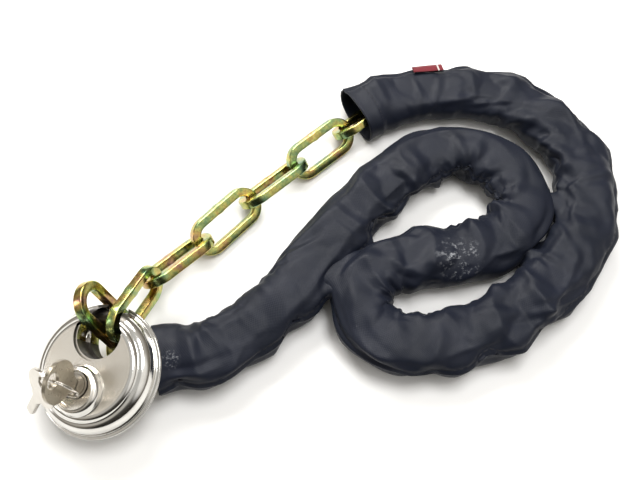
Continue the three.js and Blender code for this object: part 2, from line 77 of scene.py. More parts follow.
def mesh_of(name, points, faces, smooth=True):
    """A mesh from points in millimetres."""
    mesh = bpy.data.meshes.new(name)
    mesh.from_pydata([tuple(float(c) * MM for c in p) for p in points], [], faces)
    mesh.update()
    if smooth:
        mesh.polygons.foreach_set("use_smooth", [True] * len(mesh.polygons))
    return mesh


def grid_faces(rows, columns, wrap_rows, wrap_columns):
    """Quads over a grid of points, row by row."""
    faces = []
    for i in range(rows if wrap_rows else rows - 1):
        for j in range(columns if wrap_columns else columns - 1):
            a, b = i * columns + j, i * columns + (j + 1) % columns
            c, d = ((i + 1) % rows) * columns + (j + 1) % columns, ((i + 1) % rows) * columns + j
            faces.append((a, b, c, d))
    return faces


def capped(faces, rows, columns):
    """The grid's faces with its first and last rows closed."""
    first = tuple(range(columns))[::-1]
    last = tuple((rows - 1) * columns + j for j in range(columns))
    return faces + [first, last]


def modify(piece, kind, **settings):
    modifier = piece.modifiers.new(kind.title(), kind)
    for key, value in settings.items():
        setattr(modifier, key, value)


def revolved(name, profile, segments=160):
    """A closed turned solid about Z from [radius, z] points that start and end on the axis."""
    inner = profile[1:-1]
    turn = np.arange(segments) * TAU / segments
    points = [(r * math.cos(a), r * math.sin(a), z) for r, z in inner for a in turn]
    faces = grid_faces(len(inner), segments, False, True)
    first, last = len(points), len(points) + 1
    points += [(0, 0, profile[0][1]), (0, 0, profile[-1][1])]
    base = (len(inner) - 1) * segments
    for j in range(segments):
        k = (j + 1) % segments
        faces.append((first, k, j))
        faces.append((last, base + j, base + k))
    return outward(mesh_of(name, points, faces))


def outward(mesh):
    """Turn a closed mesh's faces outward."""
    shape = bmesh.new()
    shape.from_mesh(mesh)
    bmesh.ops.recalc_face_normals(shape, faces=shape.faces)
    shape.to_mesh(mesh)
    shape.free()
    return mesh


def prism(name, outline, low, high):
    """A straight prism along Z."""
    count = len(outline)
    points = [(x, y, low) for x, y in outline] + [(x, y, high) for x, y in outline]
    sides = [(j, (j + 1) % count, count + (j + 1) % count, count + j) for j in range(count)]
    faces = sides + [tuple(range(count))[::-1], tuple(range(count, 2 * count))]
    return outward(mesh_of(name, points, faces, smooth=False))


def combine(mesh, other, operation):
    """One mesh cut by another or joined to it."""
    body, tool = add_object("body", mesh), add_object("tool", other)
    modify(body, "BOOLEAN", operation=operation, object=tool, solver="EXACT")
    bpy.context.view_layer.update()
    result = bpy.data.meshes.new_from_object(body.evaluated_get(bpy.context.evaluated_depsgraph_get()))
    bpy.data.objects.remove(body)
    bpy.data.objects.remove(tool)
    return result


def smooth_by_angle(mesh, degrees):
    mesh.polygons.foreach_set("use_smooth", [True] * len(mesh.polygons))
    mesh.set_sharp_from_angle(angle=math.radians(degrees))


def arc(r, z, along_r, along_z, start, end, count):
    """Points round a stretch of an ellipse about (r, z), from start to end in degrees."""
    return [
        (r + along_r * math.cos(a), z + along_z * math.sin(a))
        for a in np.radians(np.linspace(start, end, count + 1))
    ]


# ---- Materials ------------------------------------------------------------------


class Nodes:
    """Short ways to add shader nodes to a tree."""

    def __init__(self, tree):
        self.tree = tree
        self.coordinates = self.node("ShaderNodeTexCoord")

    def node(self, kind, **settings):
        made = self.tree.nodes.new(kind)
        for key, value in settings.items():
            setattr(made, key, value)
        return made

    def link(self, source, target):
        self.tree.links.new(source, target)

    def noise(self, scale, detail, roughness, stretch=(1, 1, 1)):
        mapping = self.node("ShaderNodeMapping")
        mapping.inputs["Scale"].default_value = stretch
        self.link(self.coordinates.outputs["Object"], mapping.inputs["Vector"])
        made = self.node("ShaderNodeTexNoise")
        made.inputs["Scale"].default_value = scale
        made.inputs["Detail"].default_value = detail
        made.inputs["Roughness"].default_value = roughness
        self.link(mapping.outputs["Vector"], made.inputs["Vector"])
        return made.outputs["Fac"]

    def ramp(self, value, *stops):
        """A colour ramp over a value, with its (position, colour) stops."""
        made = self.node("ShaderNodeValToRGB")
        elements = made.color_ramp.elements
        while len(elements) < len(stops):
            elements.new(0.5)
        for element, (position, color) in zip(elements, stops):
            element.position = position
            element.color = (*color, 1)
        self.link(value, made.inputs["Fac"])
        return made.outputs["Color"]

    def maths(self, operation, first, second=0.5, third=0.5):
        made = self.node("ShaderNodeMath", operation=operation)
        for socket, value in zip(made.inputs, (first, second, third)):
            if isinstance(value, (int, float)):
                socket.default_value = value
            else:
                self.link(value, socket)
        return made.outputs["Value"]

    def vector(self, operation, first, second=None):
        """A vector node on a linked vector and a constant one."""
        made = self.node("ShaderNodeVectorMath", operation=operation)
        self.link(first, made.inputs[0])
        if second is not None:
            made.inputs[1].default_value = second
        return made

    def mix(self, factor, first, second, blend="MIX"):
        """Two colours mixed; in an RGBA mix node they are inputs 6 and 7, and output 2."""
        made = self.node("ShaderNodeMix", data_type="RGBA", blend_type=blend)
        for index, value in ((0, factor), (6, first), (7, second)):
            if isinstance(value, (int, float)):
                made.inputs[index].default_value = value
            elif isinstance(value, tuple):
                made.inputs[index].default_value = (*value, 1)
            else:
                self.link(value, made.inputs[index])
        return made.outputs[2]


class Shader(Nodes):
    """A material being built: its nodes, and the principled shader that they feed."""

    def __init__(self, name, **sockets):
        self.material = bpy.data.materials.new(name)
        self.material.use_nodes = True
        super().__init__(self.material.node_tree)
        self.principled = self.tree.nodes["Principled BSDF"]
        for key, value in sockets.items():
            self.principled.inputs[key.replace("_", " ")].default_value = value
        self.height = None

    def color(self, value):
        self.link(value, self.principled.inputs["Base Color"])

    def roughness(self, value, low, high):
        self.link(self.maths("MULTIPLY_ADD", value, high - low, low), self.principled.inputs["Roughness"])

    def bump(self, value, strength, distance):
        """A bump on top of those already there."""
        made = self.node("ShaderNodeBump")
        made.inputs["Strength"].default_value = strength
        made.inputs["Distance"].default_value = distance
        self.link(value, made.inputs["Height"])
        if self.height is not None:
            self.link(self.height, made.inputs["Normal"])
        self.height = made.outputs["Normal"]
        self.link(self.height, self.principled.inputs["Normal"])


def grey(level):
    return (level, level, level)


def polished_steel():
    shader = Shader("polished_steel", Metallic=1.0)
    haze = shader.noise(60, 4, 0.6)
    shader.color(shader.ramp(haze, (0.3, (0.62, 0.605, 0.57)), (0.7, (0.72, 0.71, 0.68))))
    shader.roughness(shader.noise(220, 5, 0.7), 0.05, 0.2)
    shader.bump(shader.noise(500, 2, 0.5, stretch=(1, 8, 1)), 0.04, 0.00002)
    return shader.material


def brushed_face():
    """Turned marks round the padlock's axis, in a warm pale steel."""
    shader = Shader("brushed_face", Metallic=1.0)
    offset = shader.vector("SUBTRACT", shader.coordinates.outputs["Object"], LOCK_CENTRE)
    across = shader.vector("CROSS_PRODUCT", offset.outputs["Vector"], LOCK_Z)
    radius = shader.vector("LENGTH", across.outputs["Vector"])
    rings = shader.node("ShaderNodeTexNoise", noise_dimensions="1D")
    rings.inputs["Scale"].default_value = 2600
    rings.inputs["Detail"].default_value = 3
    shader.link(radius.outputs["Value"], rings.inputs["W"])
    marks = rings.outputs["Fac"]
    stain = shader.noise(45, 4, 0.6)
    warm = shader.ramp(stain, (0.35, (0.80, 0.755, 0.68)), (0.7, (0.88, 0.85, 0.785)))
    lines = shader.ramp(marks, (0.3, grey(0.8)), (0.7, grey(1.0)))
    shader.color(shader.mix(0.3, warm, lines, "MULTIPLY"))
    shader.roughness(marks, 0.2, 0.3)
    shader.bump(marks, 0.05, 0.00001)
    shader.bump(shader.noise(500, 2, 0.5, stretch=(1, 8, 1)), 0.05, 0.00002)
    return shader.material


def zinc_chromate():
    """Yellow passivated zinc: gold with drifts of green, pink and grey, and dull specks."""
    shader = Shader("zinc_plated_steel", Metallic=1.0)
    drift = shader.noise(75, 3, 0.6)
    tint = shader.ramp(
        drift, (0.32, (0.16, 0.29, 0.16)), (0.43, (0.32, 0.41, 0.16)), (0.52, (0.52, 0.49, 0.15)),
        (0.60, (0.56, 0.39, 0.13)), (0.70, (0.42, 0.24, 0.16)),
    )
    patch = shader.ramp(shader.noise(420, 4, 0.65), (0.38, grey(0.72)), (0.62, grey(1.05)))
    specks = shader.ramp(shader.noise(1500, 2, 0.5), (0.66, grey(0.0)), (0.72, grey(1.0)))
    shader.color(shader.mix(specks, shader.mix(1.0, tint, patch, "MULTIPLY"), (0.33, 0.29, 0.22)))
    shader.roughness(shader.noise(350, 4, 0.7), 0.1, 0.32)
    shader.bump(shader.noise(450, 3, 0.6), 0.2, 0.00008)
    return shader.material


def plain_metal(name, low, high, rough, scale=300):
    """A worked metal: two close colours, scratches and uneven gloss."""
    shader = Shader(name, Metallic=1.0)
    shader.color(shader.ramp(shader.noise(90, 4, 0.6), (0.3, low), (0.7, high)))
    shader.roughness(shader.noise(scale, 4, 0.7), rough * 0.7, rough * 1.4)
    shader.bump(shader.noise(scale * 1.5, 2, 0.5, stretch=(1, 6, 2)), 0.08, 0.00002)
    return shader.material


# Pale rubbed places on the cloth: centre in mm, reach in mm, fineness of the marks.
SCUFFS = [((74.7, -27.9, 26), 17, 240), ((-102.3, -95.8, 25), 7, 520)]


def rubbed(shader, cloth, worn):
    """Thin pale marks all over the cloth, and dense ones at the scuffs."""
    fine = shader.noise(260, 5, 0.75, stretch=(1, 1, 0.4))
    thin = shader.ramp(fine, (0.70, grey(0.0)), (0.80, grey(worn)))
    cloth = shader.mix(thin, cloth, (0.34, 0.34, 0.36))
    for centre, reach, scale in SCUFFS:
        place = [c * MM for c in centre]
        distance = shader.vector("DISTANCE", shader.coordinates.outputs["Object"], place)
        share = shader.maths("DIVIDE", distance.outputs["Value"], reach * MM)
        near = shader.ramp(share, (0.35, grey(1.0)), (1.0, grey(0.0)))
        marks = shader.ramp(shader.noise(scale, 5, 0.75), (0.54, grey(0.0)), (0.63, grey(0.8)))
        cloth = shader.mix(shader.mix(1.0, near, marks, "MULTIPLY"), cloth, (0.30, 0.31, 0.33))
    return cloth


def woven(name, dark, light, thread, worn=0.0):
    """Plain weave laid out by the UV map, which is in metres of cloth."""
    shader = Shader(name, Sheen_Weight=0.02, Sheen_Roughness=0.5, Specular_IOR_Level=0.2)
    apart = shader.node("ShaderNodeSeparateXYZ")
    shader.link(shader.coordinates.outputs["UV"], apart.inputs["Vector"])
    turns = math.pi / thread
    warp = shader.maths("SINE", shader.maths("MULTIPLY", apart.outputs["X"], turns))
    weft = shader.maths("SINE", shader.maths("MULTIPLY", apart.outputs["Y"], turns))
    weave = shader.maths("MULTIPLY_ADD", shader.maths("MULTIPLY", warp, weft), 0.5, 0.5)
    dye = shader.ramp(shader.noise(35, 4, 0.6), (0.3, dark), (0.7, light))
    threads = shader.ramp(weave, (0.2, grey(0.55)), (0.8, grey(1.0)))
    cloth = shader.mix(0.55, dye, threads, "MULTIPLY")
    shader.color(rubbed(shader, cloth, worn) if worn else cloth)
    shader.roughness(shader.noise(200, 3, 0.6), 0.38, 0.6)
    shader.bump(weave, 0.4, 0.00014)
    shader.bump(shader.noise(420, 3, 0.6), 0.3, 0.00025)
    return shader.material


STEEL = polished_steel()
FACE = brushed_face()
ZINC = zinc_chromate()
BRASS = plain_metal("brass", (0.62, 0.47, 0.22), (0.80, 0.64, 0.34), 0.3)
NICKEL = plain_metal("nickel_plate", (0.52, 0.49, 0.44), (0.66, 0.63, 0.58), 0.22)
KEY_METAL = plain_metal("worn_nickel", (0.27, 0.24, 0.19), (0.40, 0.36, 0.29), 0.28)
HARDENED = plain_metal("hardened_steel", (0.30, 0.30, 0.31), (0.50, 0.50, 0.51), 0.2)
# The throat's inner wall: rougher steel, with a near-black colour that is painted shade of the recess.
THROAT_SHADE = plain_metal("unpolished_steel_painted_shade", (0.07, 0.064, 0.056), (0.16, 0.15, 0.135), 0.34)
CORE = plain_metal("core_metal", (0.32, 0.33, 0.34), (0.48, 0.49, 0.50), 0.5)
SPRING = plain_metal("spring_steel", (0.42, 0.43, 0.45), (0.6, 0.61, 0.63), 0.35)
CLOTH = woven("sleeve_fabric", (0.004, 0.0062, 0.0135), (0.008, 0.0105, 0.021), 0.0007, worn=0.35)
THREAD = woven("stitching", (0.010, 0.011, 0.015), (0.024, 0.025, 0.032), 0.0003)
RED = woven("label_fabric", (0.11, 0.006, 0.012), (0.19, 0.014, 0.024), 0.0005)
PALE = woven("label_edge", (0.45, 0.40, 0.38), (0.62, 0.58, 0.55), 0.0005)

SLOT_MATERIALS = {
    "zinc_plated_steel": ZINC,
    "sleeve_fabric": CLOTH,
    "label_fabric": RED,
    "brushed_face": FACE,
    "polished_steel": STEEL,
    "core_metal": CORE,
    "hardened_steel": HARDENED,
    "brass": BRASS,
    "spring_steel": SPRING,
    "nickel_plate": NICKEL,
}
for part in frame["record"]["subparts"]:
    for material_slot in frame["nodes"][part["node"]].material_slots:
        material_slot.material = SLOT_MATERIALS[part["material_slot"]]


def finish_piece(piece, material, body, slot, *nodes):
    """Paint a piece, tie it to its body, and hide the CAD nodes it stands for."""
    piece.data.materials.clear()
    piece.data.materials.append(material)
    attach(piece, body)
    if nodes:
        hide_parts(*nodes)


# ---- Chain ----------------------------------------------------------------------

ROD = 6.0
LINK_LENGTH = 57.0
LINK_WIDTH = 27.0
STRAIGHT_STEPS = 22
BEND_STEPS = 24
ROD_EDGE = 0.95  # radius of the rod's rounded corners
WELD_REACH = 2.1
ROD_SECTION = [
    (sx * (ROD / 2 - ROD_EDGE) + ROD_EDGE * math.cos(a), sy * (ROD / 2 - ROD_EDGE) + ROD_EDGE * math.sin(a))
    for sx, sy, start in ((1, 1, 0), (-1, 1, 90), (-1, -1, 180), (1, -1, 270))
    for a in np.radians(np.linspace(start, start + 90, 6))
]
SECTION_STEPS = len(ROD_SECTION)


def link_path():
    """Centreline of a link as (point, outward normal) pairs, long way along X."""
    half, radius = (LINK_LENGTH - LINK_WIDTH) / 2, (LINK_WIDTH - ROD) / 2
    path = []
    for side in (1, -1):
        for step in range(STRAIGHT_STEPS):
            x = side * (-half + 2 * half * step / STRAIGHT_STEPS)
            path.append(((x, -side * radius), (0, -side)))
        for step in range(BEND_STEPS):
            a = math.pi * step / BEND_STEPS - side * math.pi / 2
            normal = (math.cos(a), math.sin(a))
            path.append(((side * half + radius * normal[0], radius * normal[1]), normal))
    return path


def link_mesh(name, seed):
    """Square rod with rounded corners, bent and butt welded on one leg, a little uneven."""
    noise = np.random.default_rng(seed)
    path = link_path()
    phase = noise.uniform(0, TAU, 4)
    points = []
    for index, ((x, y), (nx, ny)) in enumerate(path):
        around = TAU * index / len(path)
        weld = math.exp(-((x / WELD_REACH) ** 2)) if y > 0 and abs(ny) == 1 else 0.0
        swell = 0.995 + 0.006 * math.sin(3 * around + phase[0]) + 0.004 * math.sin(7 * around + phase[1])
        for out, up in ROD_SECTION:
            lump = weld * (0.07 + 0.03 * math.sin(3 * out + phase[2]) + 0.015 * noise.standard_normal())
            out, up = out * (swell + lump), up * (swell + lump)
            points.append((x + nx * out, y + ny * out, up))
    return outward(mesh_of(name, points, grid_faces(len(path), SECTION_STEPS, True, True)))


def node_frame(node):
    """Where a link lies: its centre, with its long, wide and thin directions."""
    corners = np.array([v.co for v in frame["nodes"][node].data.vertices])
    corners = np.unique(corners.round(7), axis=0)
    centre = corners.mean(0)
    _, _, axes = np.linalg.svd(corners - centre, full_matrices=False)
    if np.linalg.det(axes) < 0:
        axes[2] = -axes[2]
    turn = Matrix([list(map(float, axis)) for axis in axes]).transposed()
    return Matrix.Translation(Vector(centre)) @ turn.to_4x4()


# The links that can be seen, and the bodies of those that move.
LINK_BODIES = {2: "link_2", 3: "link_3", 4: "link_4", 5: "link_5"}
for number in (*range(8), 29, 30):
    node = f"chain_link_{number:02d}"
    link = add_object(f"link_{number:02d}", link_mesh(node, number), node_frame(node))
    finish_piece(link, ZINC, LINK_BODIES.get(number, "case"), "zinc_plated_steel", node)

# ---- Sleeve ---------------------------------------------------------------------

# Centreline from the open mouth to the end by the padlock, in plan, mm.
SLEEVE_ROUTE = [
    (26, 95), (42, 104), (66, 112), (98, 115.5), (130, 111), (158, 93), (177, 65), (182, 32),
    (175, 0), (158, -28), (133, -52), (102, -71), (72, -80), (46, -78), (30, -64), (28, -45),
    (41, -29), (68, -22), (98, -17), (125, -3), (137, 20), (129, 46), (106, 61), (79, 60),
    (52, 42), (25, 14), (1, -18), (-20, -48), (-45, -71), (-70, -85), (-91, -89), (-100, -90.8),
]
SLEEVE_HALF = 20.6
SLEEVE_TOP = 27.0
SLEEVE_FLOOR = 0.7
SECTION_POWER = 2 / 2.45  # its section is a superellipse, between an ellipse and a box
SECTION_INSET = 0.4  # room left for the folds
LINK_HEIGHT = 13.3  # the covered chain's centreline
FIRST_COVERED, LINK_COUNT = 6, 31
LINK_GAP = 2.4  # from a link to the cloth's outer surface
COVER = 12.2  # least height of the cloth over the chain's centreline
COVER_REACH = 19.5  # how far to each side the chain holds it up
CLOTH_THICK = 1.0
RING_STEP = 1.25  # spacing of the cloth's rings along the sleeve
RING_POINTS = 88
SEAM_AT = 0.12  # the seam's place round the section, in radians above the outer edge
SEAM_RISE = 0.55  # how much higher it is at the mouth, where the label is
SEAM_RISE_REACH = 130.0
HEM_WIDTH = 12.6
TUCKED_END = 14.0  # the stretch at the padlock's end that goes down under the rim
SHARP_BEND = 0.03  # curvature of a turn that counts as sharp, per mm
CUT_LENGTH = 1.0  # the cloth as it was cut, in metres
CUT_WIDTH = 0.12


def smooth_route(points, count):
    """Centripetal Catmull-Rom curve through the points, evenly spaced."""
    p = np.array(points, float)
    p = np.vstack([2 * p[0] - p[1], p, 2 * p[-1] - p[-2]])
    out = []
    for i in range(1, len(p) - 2):
        t = np.cumsum([0] + [np.linalg.norm(p[i + k] - p[i + k - 1]) ** 0.5 for k in range(3)])
        u = np.linspace(t[1], t[2], 40, endpoint=False)[:, None]
        q = p[i - 1:i + 3]
        a1 = ((t[1] - u) * q[0] + (u - t[0]) * q[1]) / (t[1] - t[0])
        a2 = ((t[2] - u) * q[1] + (u - t[1]) * q[2]) / (t[2] - t[1])
        a3 = ((t[3] - u) * q[2] + (u - t[2]) * q[3]) / (t[3] - t[2])
        b1 = ((t[2] - u) * a1 + (u - t[0]) * a2) / (t[2] - t[0])
        b2 = ((t[3] - u) * a2 + (u - t[1]) * a3) / (t[3] - t[1])
        out.append(((t[2] - u) * b1 + (u - t[1]) * b2) / (t[2] - t[1]))
    out = np.vstack(out + [p[-2:-1]])
    length = np.r_[0, np.cumsum(np.linalg.norm(np.diff(out, axis=0), axis=1))]
    even = np.linspace(0, length[-1], count)
    return np.stack([np.interp(even, length, out[:, k]) for k in (0, 1)], 1), length[-1]


_, SLEEVE_LENGTH = smooth_route(SLEEVE_ROUTE, 10)
RINGS = int(SLEEVE_LENGTH / RING_STEP)
route, _ = smooth_route(SLEEVE_ROUTE, RINGS)
route += TABLE_SHIFT
step_length = SLEEVE_LENGTH / (RINGS - 1)
tangent = np.gradient(route, axis=0)
tangent /= np.linalg.norm(tangent, axis=1)[:, None]
outer = np.stack([-tangent[:, 1], tangent[:, 0]], 1)
heading = np.unwrap(np.arctan2(tangent[:, 1], tangent[:, 0]))
kernel = np.hanning(25) / np.hanning(25).sum()
bend = np.convolve(np.pad(np.gradient(heading) / step_length, 12, "edge"), kernel, "valid")
along = np.arange(RINGS) * step_length
around = np.arange(RING_POINTS) * TAU / RING_POINTS

seam_angle = SEAM_AT + SEAM_RISE * np.exp(-((along / SEAM_RISE_REACH) ** 2))


def sleeve_section():
    """Sideways and upward offsets of each ring before the folds: a soft flattened tube."""
    c, s = np.cos(around), np.sin(around)
    side = np.sign(c) * np.abs(c) ** SECTION_POWER
    rise = np.sign(s) * np.abs(s) ** SECTION_POWER
    middle = (SLEEVE_TOP + SLEEVE_FLOOR) / 2
    return side * (SLEEVE_HALF - SECTION_INSET), middle + rise * (middle - SLEEVE_FLOOR - SECTION_INSET)


def ridge(u):
    """A fold's profile: a crisp crest with a hollow on both sides."""
    return np.exp(-(np.abs(u) ** 1.15)) - 0.5 * np.exp(-((np.abs(u) - 1.9) ** 2) * 1.3)


def wrapped(angle):
    return (angle + math.pi) % TAU - math.pi


def turn_at(place):
    """How sharp the sleeve's turn is there, 0 to 1, and the angle of its inside."""
    ring = min(int(place / step_length), RINGS - 1)
    return min(abs(bend[ring]) / SHARP_BEND, 1.0), 0.0 if bend[ring] > 0 else math.pi


def add_cross_folds(height, s, a):
    """Folds across the sleeve, crowded on the inside of the turns."""
    place = 0.0
    while place < SLEEVE_LENGTH:
        sharp, inside = turn_at(place)
        crowded = rng.random() < 0.3 + 0.6 * sharp
        centre = (inside if crowded else rng.uniform(0.1, 0.9) * math.pi) + rng.normal(0, 0.45)
        reach = rng.uniform(0.45, 1.1) * (1 + 0.4 * sharp)
        width = rng.uniform(2.0, 4.0) * (1 + 0.5 * sharp)
        slope = rng.normal(0, 6.0)
        hook = rng.normal(0, 3.0)
        gap = wrapped(a - centre)
        line = s - place - slope * gap - hook * gap ** 2
        size = rng.uniform(0.4, 1.2) + 0.5 * sharp * rng.uniform(0.4, 1.0)
        height += size * ridge(line / width) * np.exp(-((gap / reach) ** 2)) * (np.abs(line) < 6 * width)
        place += rng.uniform(6.0, 16.0) * (1 - 0.5 * sharp)


def add_pinches(height, s, a):
    """Deep pinches on the inside of the turns, a little above the middle of that side."""
    margin, above = 6.0, 0.35
    place = margin
    while place < SLEEVE_LENGTH - margin:
        sharp, inside = turn_at(place)
        centre = inside + (above if inside == 0.0 else -above) + rng.normal(0, 0.2)
        gap = wrapped(a - centre)
        line = s - place - rng.normal(0, 4.0) * gap
        pinch = np.exp(-np.abs(line / rng.uniform(2.8, 4.6)) ** 1.2) * np.exp(-((gap / 0.75) ** 2))
        height -= (0.5 + 3.6 * sharp ** 1.5) * rng.uniform(0.5, 1.0) * pinch
        place += rng.uniform(11, 19)


def add_creases(height, s, a):
    """Long slack creases, slanting round the sleeve."""
    for _ in range(64):
        place = rng.uniform(0, SLEEVE_LENGTH)
        centre = rng.uniform(0.05, 0.95) * math.pi
        length = rng.uniform(12, 34)
        width = rng.uniform(0.12, 0.26)
        gap = wrapped(a - centre - rng.normal(0, 0.016) * (s - place))
        height += rng.uniform(0.5, 1.7) * ridge(gap / width) * np.exp(-(((s - place) / length) ** 2))


def add_flats(height, s, a):
    """Broad flats between crisp creases, where slack cloth has been pressed."""
    for length, sweep, size in ((35, 17, 2.3), (47, -21, 2.3), (26, 9, 0.9)):
        phase = rng.uniform(0, TAU, 4)
        line = (s + sweep * np.cos(a - phase[0])) / length + 0.35 * np.sin(0.031 * s + phase[1])
        strength = 0.35 + 0.65 * np.sin(0.017 * s + phase[2]) ** 2
        height += size * strength * (4 * np.abs(line % 1 - 0.5) - 1) * np.cos(0.5 * (a - phase[3])) ** 2


def add_hollows(height, s, a):
    """Hollows where the loose tube sags, about as far apart as the chain's joints."""
    for place in np.arange(30, SLEEVE_LENGTH - 20, 40.0):
        centre = rng.choice([0.15, 0.85]) * math.pi + rng.normal(0, 0.35)
        slant = rng.normal(0, 9)
        gap = wrapped(a - centre)
        line = s - place - rng.normal(0, 6) - slant * gap
        height -= rng.uniform(1.8, 4.0) * np.exp(-((line / 8.5) ** 2)) * np.exp(-((gap / 0.6) ** 2))


def add_swelling(height, s, a):
    """Slow waves of the loose tube."""
    for _ in range(18):
        pace = rng.uniform(0.04, 0.2)
        lobes = rng.integers(1, 4)
        phase = rng.uniform(0, TAU, 2)
        height += 0.2 * np.sin(pace * s + phase[0]) * np.cos(lobes * a + phase[1])


def folds():
    """Height of the gathered cloth's folds over (ring, point), mm."""
    s, a = np.meshgrid(along, around, indexing="ij")
    height = np.zeros_like(s)
    for add in (add_cross_folds, add_pinches, add_creases, add_flats, add_hollows, add_swelling):
        add(height, s, a)
    return height


def hem(mouth):
    """A turned-in band at the mouth with a stitched groove behind it."""
    return np.where(mouth < HEM_WIDTH, 0.25, 0.0) - 0.4 * np.exp(-(((mouth - HEM_WIDTH) / 0.8) ** 2))


def flare(mouth):
    """Both ends open out a little."""
    return 1.3 * np.exp(-mouth / 7) + 1.8 * np.exp(-(SLEEVE_LENGTH - mouth) / 12)


def seam():
    """A raised seam along the outer edge, with a hollow beside it."""
    gap = wrapped(around[None, :] - seam_angle[:, None])
    return 1.5 * np.exp(-((gap / 0.06) ** 2)) - 0.5 * np.exp(-(((gap - 0.17) / 0.07) ** 2))


def bunched(x):
    """Inside a sharp turn the cloth bunches instead of passing the turn's centre."""
    limit = 0.9 / np.maximum(np.abs(bend), 1e-4)[:, None]
    toward = x * np.sign(bend)[:, None]
    pressed = 0.6 * limit + 0.4 * limit * np.tanh((toward - 0.6 * limit) / (0.4 * limit))
    return np.where(toward > 0.6 * limit, pressed, toward) * np.sign(bend)[:, None]


def sleeve_points():
    """The cloth's outer surface as (ring, point, place), mm."""
    side, rise = sleeve_section()
    height = folds()
    mouth = along[:, None]
    to_end = np.minimum(mouth, SLEEVE_LENGTH - mouth)
    height *= np.clip(to_end / 14, 0.25, 1)
    height = height + hem(mouth) + flare(mouth) + seam()
    x = side[None, :] + height * np.cos(around)[None, :]
    off = rise[None, :] - LINK_HEIGHT + height * np.sin(around)[None, :]
    # The chain inside holds the cloth up, and keeps a fold from sinking into it.
    held_up = COVER * np.sqrt(np.clip(1 - (x / COVER_REACH) ** 2, 0, 1))
    off = np.where(np.sin(around)[None, :] > 0, np.maximum(off, held_up), off)
    low = np.clip((mouth - (SLEEVE_LENGTH - TUCKED_END)) / TUCKED_END, 0, 1)
    z = np.clip(LINK_HEIGHT + off * (1 - 0.10 * low ** 2), SLEEVE_FLOOR, None)
    flat = route[:, None, :] + outer[:, None, :] * bunched(x)[:, :, None]
    return clear_of_chain(np.dstack([flat, z]))


def chain_surface():
    """The covered links as one surface to measure from."""
    points, faces = [], []
    for number in range(FIRST_COVERED, LINK_COUNT):
        mesh = frame["nodes"][f"chain_link_{number:02d}"].data
        base = len(points)
        points += [v.co.copy() for v in mesh.vertices]
        faces += [[base + v for v in polygon.vertices] for polygon in mesh.polygons]
    return BVHTree.FromPolygons(points, faces)


def clear_of_chain(points):
    """Push the cloth outward from its centreline wherever a link would come through it."""
    chain = chain_surface()
    beyond = 10  # the ray starts this far outside the cloth
    centre = np.column_stack([route, np.full(RINGS, LINK_HEIGHT)])
    away = points - centre[:, None, :]
    reach = np.linalg.norm(away, axis=2)
    away /= reach[:, :, None]
    push = np.zeros_like(reach)
    for i in range(RINGS):
        for j in range(RING_POINTS):
            way = Vector(away[i, j])
            start = (Vector(centre[i]) + way * (reach[i, j] + beyond)) * MM
            hit, _, _, travelled = chain.ray_cast(start, -way, (reach[i, j] + beyond) * MM)
            if hit is not None:
                push[i, j] = max(0.0, beyond + LINK_GAP - travelled / MM)
    # Ease the pushed places into the cloth round them.
    for _ in range(8):
        padded = np.pad(push, ((1, 1), (0, 0)), "edge")
        rows = (padded[:-2] + padded[1:-1] + padded[2:]) / 3
        push = np.maximum(push, (np.roll(rows, 1, 1) + rows + np.roll(rows, -1, 1)) / 3)
    cleared = points + away * push[:, :, None]
    cleared[:, :, 2] = np.clip(cleared[:, :, 2], SLEEVE_FLOOR, None)
    return cleared


def add_uv(mesh, rows, columns, width, length):
    """UV map in metres of cloth: along the sleeve, and round it."""
    layer = mesh.uv_layers.new(name="cloth")
    for polygon in mesh.polygons:
        rows_columns = [divmod(mesh.loops[k].vertex_index, columns) for k in polygon.loop_indices]
        wraps = max(c for _, c in rows_columns) - min(c for _, c in rows_columns) > columns / 2
        for k, (row, column) in zip(polygon.loop_indices, rows_columns):
            column = column + columns if wraps and column < columns / 2 else column
            layer.data[k].uv = (row / (rows - 1) * length, column / columns * width)


cloth_points = sleeve_points()
sleeve_mesh = mesh_of("sleeve", cloth_points.reshape(-1, 3), grid_faces(RINGS, RING_POINTS, False, True))
outward(sleeve_mesh)
add_uv(sleeve_mesh, RINGS, RING_POINTS, CUT_WIDTH, CUT_LENGTH)
sleeve = add_object("sleeve", sleeve_mesh)
modify(sleeve, "SOLIDIFY", thickness=CLOTH_THICK * MM, offset=-1.0)
finish_piece(sleeve, CLOTH, "case", "sleeve_fabric", "fabric_sleeve")


# A stitch's shape: the share of its length, and of its radius there.
STITCH_PROFILE = ((0, 0.35), (0.15, 0.9), (0.5, 1.0), (0.85, 0.9), (1, 0.35))


def stitches(name, paths, radius, sides=6):
    """Short round threads, one for each (start, end) pair."""
    points, faces = [], []
    for start, end in paths:
        way = (end - start) / np.linalg.norm(end - start)
        across = np.cross(way, (0, 0, 1.0))
        across /= np.linalg.norm(across)
        up = np.cross(across, way)
        base = len(points)
        for t, r in STITCH_PROFILE:
            for k in range(sides):
                a = TAU * k / sides
                spoke = across * math.cos(a) + up * math.sin(a)
                points.append(start + (end - start) * t + radius * r * spoke)
        count = len(STITCH_PROFILE)
        ring_faces = capped(grid_faces(count, sides, False, True), count, sides)
        faces += [tuple(base + v for v in face) for face in ring_faces]
    return outward(mesh_of(name, points, faces))


FIRST_STITCH, STITCH_STEP, STITCH_RINGS = 12, 3, 2  # counted in rings of the cloth
BESIDE_SEAM = 0.19
STITCH_LIFT = (0, 0, 0.1)
LOWEST_STITCH = 1.2


def cloth_at(ring, point):
    return cloth_points[ring, point % RING_POINTS]


